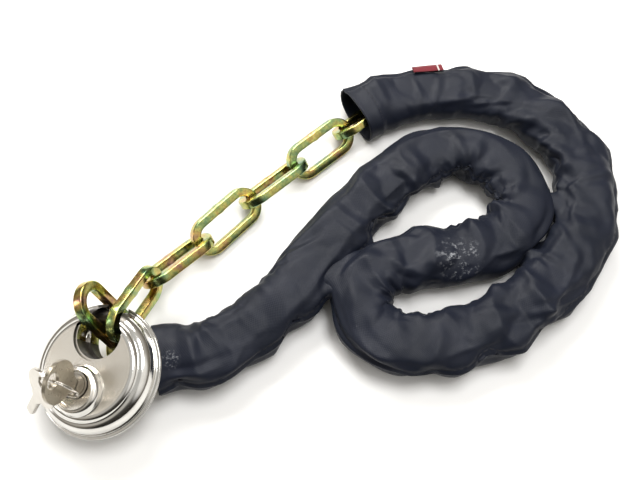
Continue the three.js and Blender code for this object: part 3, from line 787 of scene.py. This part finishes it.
seam_paths = []
for ring in range(FIRST_STITCH, RINGS - 4, STITCH_STEP):
    point = round((seam_angle[ring] + BESIDE_SEAM) / TAU * RING_POINTS)
    ends = (cloth_at(ring, point), cloth_at(ring + STITCH_RINGS, point))
    seam_paths.append([end + STITCH_LIFT for end in ends])
hem_ring = round(HEM_WIDTH / step_length)
hem_paths = [
    (cloth_at(hem_ring, p), cloth_at(hem_ring, p + 1)) for p in range(0, RING_POINTS, 2)
    if cloth_at(hem_ring, p)[2] > LOWEST_STITCH
]
seam_thread = add_object("seam_stitching", stitches("seam_stitching", seam_paths, 0.32))
finish_piece(seam_thread, THREAD, "case", "sleeve_fabric")
hem_thread = add_object("hem_stitching", stitches("hem_stitching", hem_paths, 0.35))
finish_piece(hem_thread, THREAD, "case", "sleeve_fabric")

# ---- Label ----------------------------------------------------------------------

# A folded strip that comes out of the seam and lies up over the sleeve's shoulder.
LABEL_LENGTH = 22.0
LABEL_REACH = 6.2
LABEL_STRIPE, LABEL_END = 3.95, 2.75  # from its far end to where its stripe and end piece begin
LABEL_OUT = 17.0  # from the sleeve's centreline to the label's root
LABEL_UP = 24.4  # and how far that is above the table
LABEL_RISE = 0.42  # how much it rises for each millimetre toward the centreline
CAD_LABEL_OUT = 24.6  # the CAD label's middle, from the centreline


def label_mesh(name, low, high):
    """The strip's folded section, swept along the seam from low to high."""
    half = [(-1.5, 0.55), (1.0, 0.62), (3.2, 0.5), (LABEL_REACH - 0.9, 0.42)]
    tip = [(LABEL_REACH - 0.25, 0.3), (LABEL_REACH, 0.0), (LABEL_REACH - 0.25, -0.3)]
    section = half + tip + [(x, -z) for x, z in reversed(half)]
    inner = [(x - 0.1 if x > 4 else x, z * 0.2) for x, z in reversed(section)]
    closed = section + inner
    rows = 12
    points = []
    for row in range(rows):
        t = low + (high - low) * row / (rows - 1)
        sway = 0.35 * math.sin(2.2 * t / LABEL_LENGTH + 0.6)
        points += [(t, y, z + sway * y / LABEL_REACH) for y, z in closed]
    count = len(closed)
    return outward(mesh_of(name, points, capped(grid_faces(rows, count, False, True), rows, count)))


label_low, label_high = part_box("sleeve_label")
label_middle = (label_low + label_high) / 2
from_label = route + outer * CAD_LABEL_OUT - np.array(label_middle[:2]) / MM
label_ring = int(np.argmin(np.linalg.norm(from_label, axis=1)))
label_way = Vector((*tangent[label_ring], 0))
label_out = Vector((*outer[label_ring], 0))
label_reach = (Vector((0, 0, 1)) * LABEL_RISE - label_out).normalized()
label_turn = Matrix((label_way, label_reach, label_way.cross(label_reach))).transposed().to_4x4()
label_root = Vector((*(route[label_ring] * MM), 0)) + label_out * LABEL_OUT * MM
label_place = Matrix.Translation(label_root + Vector((0, 0, LABEL_UP * MM))) @ label_turn


def flat_uv(mesh):
    """UV map in metres, in the strip's own plane."""
    layer = mesh.uv_layers.new(name="cloth")
    for loop, data in zip(mesh.loops, layer.data):
        data.uv = mesh.vertices[loop.vertex_index].co[:2]


label_parts = []
for name, low, high, material in (
    ("label", -LABEL_LENGTH / 2, LABEL_LENGTH / 2 - LABEL_STRIPE - 0.05, RED),
    ("label_stripe", LABEL_LENGTH / 2 - LABEL_STRIPE, LABEL_LENGTH / 2 - LABEL_END - 0.05, PALE),
    ("label_end", LABEL_LENGTH / 2 - LABEL_END, LABEL_LENGTH / 2, RED),
):
    mesh = label_mesh(name, low, high)
    flat_uv(mesh)
    label_parts.append(add_object(name, mesh, label_place))
    finish_piece(label_parts[-1], material, "case", "label_fabric")
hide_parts("sleeve_label")

# ---- Padlock case ---------------------------------------------------------------

# Millimetres in the padlock's own frame: +Z out of the face, +Y to the throat.
FLANGE = 40.0
FACE_HEIGHT = 14.0
FACE_RADIUS = 27.4  # the brushed part of the face
SHELL_WALL = 1.5
SPLIT = 0.15  # half of the gap between the shells
SHACKLE_RADIUS = 31.0
SHACKLE_ROD = 5.0
PLUG_Y = -10.7
BOSS_Y = -13.4
SHELL_BORE, BOSS_BORE = 7.9, 8.4
THROAT_Y, THROAT_RADIUS, THROAT_NECK = 20.0, 12.8, 6.6
LIP = 3.4  # radius of the throat's rolled edge
FLIP = Matrix.Rotation(math.pi, 4, "Y")
TO_LOCK = LOCK.inverted()

# Outside of a pressed shell: rolled rim, round shoulder, a step, and the flat face's round edge.
SHELL_OUTSIDE = [
    (0, SPLIT),
    (FLANGE - 0.25, SPLIT),
    *arc(FLANGE - 0.5, 0.62, 0.5, 0.5, -60, 90, 6),
    (38.9, 1.12),
    *arc(38.5, 2.1, 0.9, 0.98, 270, 190, 5),
    *arc(31.1, 2.4, 6.4, 8.8, 4, 76, 20),
    (32.0, 11.05),
    (31.6, 11.15),
    (31.25, 11.35),
    *arc(27.5, 10.6, 3.5, 3.4, 20, 90, 14),
    (0, FACE_HEIGHT),
]
SHELL_INSIDE = [
    (0, -1.0),
    (36.4, -1.0),
    (36.4, 1.4),
    *arc(31.1, 1.6, 5.2, 8.1, 5, 88, 12),
    (27.0, FACE_HEIGHT - SHELL_WALL),
    (0, FACE_HEIGHT - SHELL_WALL),
]


def throat_outline(margin):
    """The throat seen from the front, wider by a margin all round."""
    neck = THROAT_NECK + margin
    bottom = np.radians(np.linspace(160, 380, 57))
    radius = THROAT_RADIUS + margin
    outline = [(radius * math.cos(a), THROAT_Y + radius * math.sin(a)) for a in bottom]
    return outline + [(neck, FLANGE), (neck, FLANGE + 10), (-neck, FLANGE + 10), (-neck, FLANGE)]


def throat_cutter():
    """The throat as a cutter: straight below, rolled outward where it meets the face."""
    levels = [(-30.0, 0.0)]
    for a in np.radians(np.linspace(0, 80, 9)):
        levels.append((FACE_HEIGHT - LIP + LIP * math.sin(a), LIP * (1 - math.cos(a))))
    levels.append((FACE_HEIGHT + 0.4, LIP + 0.5))
    rings = [[(x, y, z) for x, y in throat_outline(margin)] for z, margin in levels]
    count = len(rings[0])
    faces = capped(grid_faces(len(rings), count, False, True), len(rings), count)
    mesh = outward(mesh_of("throat", [p for ring in rings for p in ring], faces, smooth=False))
    shape = bmesh.new()
    shape.from_mesh(mesh)
    bmesh.ops.triangulate(shape, faces=shape.faces)
    shape.to_mesh(mesh)
    shape.free()
    return mesh


def torus(name, radius, rod, turns=180, sides=40):
    points = []
    for i in range(turns):
        a = TAU * i / turns
        for j in range(sides):
            b = TAU * j / sides
            r = radius + rod * math.cos(b)
            points.append((r * math.cos(a), r * math.sin(a), rod * math.sin(b)))
    return outward(mesh_of(name, points, grid_faces(turns, sides, True, True)))


def circle(radius, x=0.0, y=0.0, count=96):
    return [(x + radius * math.cos(a), y + radius * math.sin(a)) for a in np.arange(count) * TAU / count]


def case_shell(name, bored):
    """One pressed half of the case, with the throat's wall turned in from its edge."""
    shape = revolved(name, SHELL_OUTSIDE)
    hollow = combine(revolved("hollow", SHELL_INSIDE, 96),
                     prism("wall", throat_outline(SHELL_WALL), -30, 30), "DIFFERENCE")
    shape = combine(shape, hollow, "DIFFERENCE")
    shape = combine(shape, throat_cutter(), "DIFFERENCE")
    shape = combine(shape, torus("tunnel", SHACKLE_RADIUS, SHACKLE_ROD + 0.6), "DIFFERENCE")
    if bored:
        bore = prism("bore", circle(SHELL_BORE, 0, PLUG_Y), 5, 30)
        shape = combine(shape, bore, "DIFFERENCE")
    smooth_by_angle(shape, 32)
    return shape


def shell_finish(place):
    """A shell's material slot at a place: 0 polished, 1 brushed face and lip, 2 throat wall in rougher steel whose
    near-black colour is painted shade.
    """
    depth = abs(place.z)
    on_lip = abs(place.x) < THROAT_RADIUS + LIP + 0.1 and place.y > 3 and depth > 11
    if math.hypot(place.x, place.y) < FACE_RADIUS and (depth > FACE_HEIGHT - 0.2 or on_lip):
        return 1
    in_throat = abs(place.x) < THROAT_RADIUS + 0.4 and place.y > 6
    return 2 if in_throat and depth < FACE_HEIGHT - LIP + 0.3 else 0


def eased(piece, width, segments, angle):
    """Bevel a piece's sharp edges, width in mm, and keep its flats flat."""
    modify(piece, "BEVEL", width=width * MM, segments=segments, limit_method="ANGLE",
           angle_limit=math.radians(angle))
    modify(piece, "WEIGHTED_NORMAL", keep_sharp=True)


for name, bored, turn, slot, node in (
    ("case_front", True, Matrix.Identity(4), "brushed_face", "front_shell"),
    ("case_back", False, FLIP, "polished_steel", "rear_shell"),
):
    shell = add_object(name, case_shell(name, bored), LOCK @ turn)
    eased(shell, 0.3, 2, 50)
    finish_piece(shell, STEEL, "case", slot, node)
    shell.data.materials.append(FACE)
    # The third slot darkens the throat wall with painted shade.
    shell.data.materials.append(THROAT_SHADE)
    for polygon in shell.data.polygons:
        polygon.material_index = shell_finish(TO_LOCK @ polygon.center / MM)

# ---- Collar, cylinder and plug --------------------------------------------------

BOSS_TOP = 20.0
BOSS_PROFILE = [
    (0, FACE_HEIGHT + 0.3),
    (15.1, FACE_HEIGHT + 0.3),
    *arc(14.7, 14.8, 0.45, 0.45, -40, 60, 4),
    *arc(11.6, 14.7, 3.1, 4.9, 25, 84, 10),
    (11.2, BOSS_TOP),
    (9.4, BOSS_TOP),
    (9.1, BOSS_TOP - 0.25),
    (0, BOSS_TOP - 0.25),
]
boss_mesh = revolved("collar", BOSS_PROFILE, 120)
boss_mesh.transform(Matrix.Translation((0, BOSS_Y * MM, 0)))
boss_mesh = combine(boss_mesh, prism("bore", circle(BOSS_BORE, 0, PLUG_Y), 5, 30), "DIFFERENCE")
smooth_by_angle(boss_mesh, 30)
collar = add_object("collar", boss_mesh, LOCK)
eased(collar, 0.25, 2, 40)
finish_piece(collar, STEEL, "case", "polished_steel", "cylinder_collar")
collar.data.materials.append(FACE)
for polygon in collar.data.polygons:
    if (TO_LOCK @ polygon.center).z / MM > BOSS_TOP - 1.1 and polygon.normal.dot(LOCK_Z) > 0.6:
        polygon.material_index = 1


def refined(name, node, material, body, slot, width, angle=30):
    """A CAD node's own solid with its flats merged and its edges eased."""
    shape = bmesh.new()
    shape.from_mesh(frame["nodes"][node].data)
    bmesh.ops.remove_doubles(shape, verts=shape.verts, dist=1e-6)
    bmesh.ops.dissolve_limit(shape, angle_limit=math.radians(1), verts=shape.verts, edges=shape.edges)
    mesh = bpy.data.meshes.new(name)
    shape.to_mesh(mesh)
    shape.free()
    smooth_by_angle(mesh, angle)
    piece = add_object(name, mesh)
    eased(piece, width, 3, angle)
    finish_piece(piece, material, body, slot, node)


refined("plug", "key_plug", NICKEL, "plug", "nickel_plate", 0.15)
refined("housing", "cylinder_housing", NICKEL, "case", "nickel_plate", 0.15)
refined("key", "key_in_lock", KEY_METAL, "key", "nickel_plate", 0.35, 25)
refined("spare", "spare_key", NICKEL, "spare", "nickel_plate", 0.35, 25)

# ---- Shackle and ring -----------------------------------------------------------

SHACKLE_TIP, SHACKLE_TAIL = 48, 240  # degrees round the padlock's centre
PIN_ANGLE, PIN_PLACE, PIN_RADIUS = 231, 30, 1.6  # the drive pin on the shackle's back


def shackle_mesh():
    """A bar bent round the padlock's centre, its ends eased."""
    sides, steps = 36, 120
    points = []
    angles = np.radians(np.linspace(SHACKLE_TIP, SHACKLE_TAIL, steps))
    for index, a in enumerate(angles):
        end = min(index, steps - 1 - index) * abs(angles[1] - angles[0]) * SHACKLE_RADIUS
        rod = SHACKLE_ROD - 0.02 - 0.8 * max(0.0, 1 - end / 0.9) ** 2
        for j in range(sides):
            b = TAU * j / sides
            r = SHACKLE_RADIUS + rod * math.cos(b)
            points.append((r * math.cos(a), r * math.sin(a), rod * math.sin(b)))
    bar = outward(mesh_of("shackle", points, capped(grid_faces(steps, sides, False, True), steps, sides)))
    a = math.radians(PIN_ANGLE)
    pin_outline = circle(PIN_RADIUS, PIN_PLACE * math.cos(a), PIN_PLACE * math.sin(a), 32)
    pin = prism("pin", pin_outline, -8, 0)
    return combine(bar, pin, "UNION")


shackle_shape = shackle_mesh()
smooth_by_angle(shackle_shape, 40)
shackle = add_object("shackle_bar", shackle_shape, LOCK)
finish_piece(shackle, HARDENED, "shackle", "hardened_steel", "shackle")

RING_RADIUS, RING_WIRE = 10.5, 0.85
HOLE_HEIGHT = 43.0  # the hole in the key's bow, above the padlock's middle
RING_HANG = Vector((0, -0.29, -0.957)).normalized()


def split_ring():
    """Two turns of flattened wire, side by side, with a step where they cross."""
    turns, sides, per_turn = 1.94, 12, 96
    steps = int(turns * per_turn)
    points = []
    for i in range(steps + 1):
        a = TAU * turns * i / steps
        crossing = 0.5 + 0.5 * math.tanh((a - TAU * turns / 2) * 3.2)
        z = -0.43 + 0.86 * crossing
        for j in range(sides):
            b = TAU * j / sides
            r = RING_RADIUS + RING_WIRE * 0.92 * math.cos(b)
            points.append((r * math.cos(a), r * math.sin(a), z + 0.41 * math.sin(b)))
    faces = capped(grid_faces(steps + 1, sides, False, True), steps + 1, sides)
    return outward(mesh_of("split_ring", points, faces))


ring_centre = Vector((0, PLUG_Y, HOLE_HEIGHT)) + RING_HANG * RING_RADIUS
ring_side = Vector((1, 0, 0)).cross(RING_HANG)
ring_turn = Matrix((Vector((1, 0, 0)), RING_HANG, ring_side)).transposed().to_4x4()
ring = add_object("split_ring", split_ring(), LOCK @ Matrix.Translation(ring_centre * MM) @ ring_turn)
finish_piece(ring, NICKEL, "ring", "nickel_plate", "key_ring")

# ---- Floor, light and camera ----------------------------------------------------

FLOOR_REACH = 9000
floor_corners = [(x * FLOOR_REACH, y * FLOOR_REACH, 0) for x, y in ((-1, -1), (1, -1), (1, 1), (-1, 1))]
floor = add_object("floor", mesh_of("floor", floor_corners, [(0, 1, 2, 3)]))
floor.location.z = -0.2 * MM
paper = Shader("paper", Roughness=0.85)
paper.color(paper.ramp(paper.noise(6, 2, 0.5), (0.3, (0.80, 0.795, 0.78)), (0.7, (0.84, 0.835, 0.825))))
floor.data.materials.append(paper.material)


def area_light(name, place, target, size, power, color=(1, 1, 1)):
    """A rectangle of light that faces its target; metres and watts."""
    light = bpy.data.lights.new(name, "AREA")
    light.shape = "RECTANGLE"
    light.size, light.size_y = size
    light.energy = power
    light.color = color
    lamp = bpy.data.objects.new(name, light)
    bpy.context.scene.collection.objects.link(lamp)
    lamp.location = place
    lamp.rotation_euler = (Vector(target) - Vector(place)).to_track_quat("-Z", "Y").to_euler()


area_light("window", (-0.35, 0.9, 0.95), (0, 0, 0), (1.0, 0.5), 19, (1, 0.99, 0.97))
area_light("ceiling", (0.3, 0.15, 1.2), (0, 0, 0), (0.7, 0.5), 11)
area_light("side", (-1.15, -0.25, 0.35), (-0.1, -0.05, 0), (0.25, 0.7), 3)

# The room seen in the metal: warm walls, lighter above, dark toward the front and
# bright up to the right.
world = bpy.data.worlds.new("studio")
world.use_nodes = True
bpy.context.scene.world = world
room = Nodes(world.node_tree)


def lobe(axis, *stops):
    """A colour ramp over the cosine between the viewing direction and an axis."""
    direction = room.coordinates.outputs["Generated"]
    cosine = room.vector("DOT_PRODUCT", direction, Vector(axis).normalized())
    return room.ramp(cosine.outputs["Value"], *stops)


walls = lobe(
    (0, 0, 1), (0.0, (0.18, 0.16, 0.13)), (0.3, (0.36, 0.325, 0.28)), (0.62, (0.74, 0.70, 0.64)),
    (0.8, (0.72, 0.69, 0.64)), (1.0, (0.9, 0.9, 0.88)),
)
dark = lobe((0.1, -0.97, 0.2), (0.62, grey(1.0)), (0.86, grey(0.13)))
bright = lobe((0.70, -0.28, 0.64), (0.82, grey(0.0)), (0.93, grey(0.75)))
shade = room.mix(1.0, walls, dark, "MULTIPLY")
background = room.tree.nodes["Background"]
room.link(room.mix(1.0, shade, bright, "ADD"), background.inputs["Color"])
background.inputs["Strength"].default_value = 0.8

# The camera of the photo, as fitted to the padlock's rim: it looks down at the middle of
# the table at 62 degrees. Its lens is for a 36 mm wide sensor.
CAMERA_UP = math.radians(62)
CAMERA_HEIGHT = 453
SENSOR_WIDTH = 36
CAMERA_LENS = 42.1875
camera_data = bpy.data.cameras.new("camera")
camera_data.sensor_width = SENSOR_WIDTH
camera_data.lens = CAMERA_LENS
camera_data.clip_start = 0.01
camera = bpy.data.objects.new("camera", camera_data)
bpy.context.scene.collection.objects.link(camera)
target = Vector((TABLE_SHIFT[0], TABLE_SHIFT[1], 0)) * MM
camera.location = target + Vector((0, -CAMERA_HEIGHT / math.tan(CAMERA_UP), CAMERA_HEIGHT)) * MM
camera.rotation_euler = (math.pi / 2 - CAMERA_UP, 0, 0)
bpy.context.scene.camera = camera
bpy.context.scene.view_settings.view_transform = "Standard"
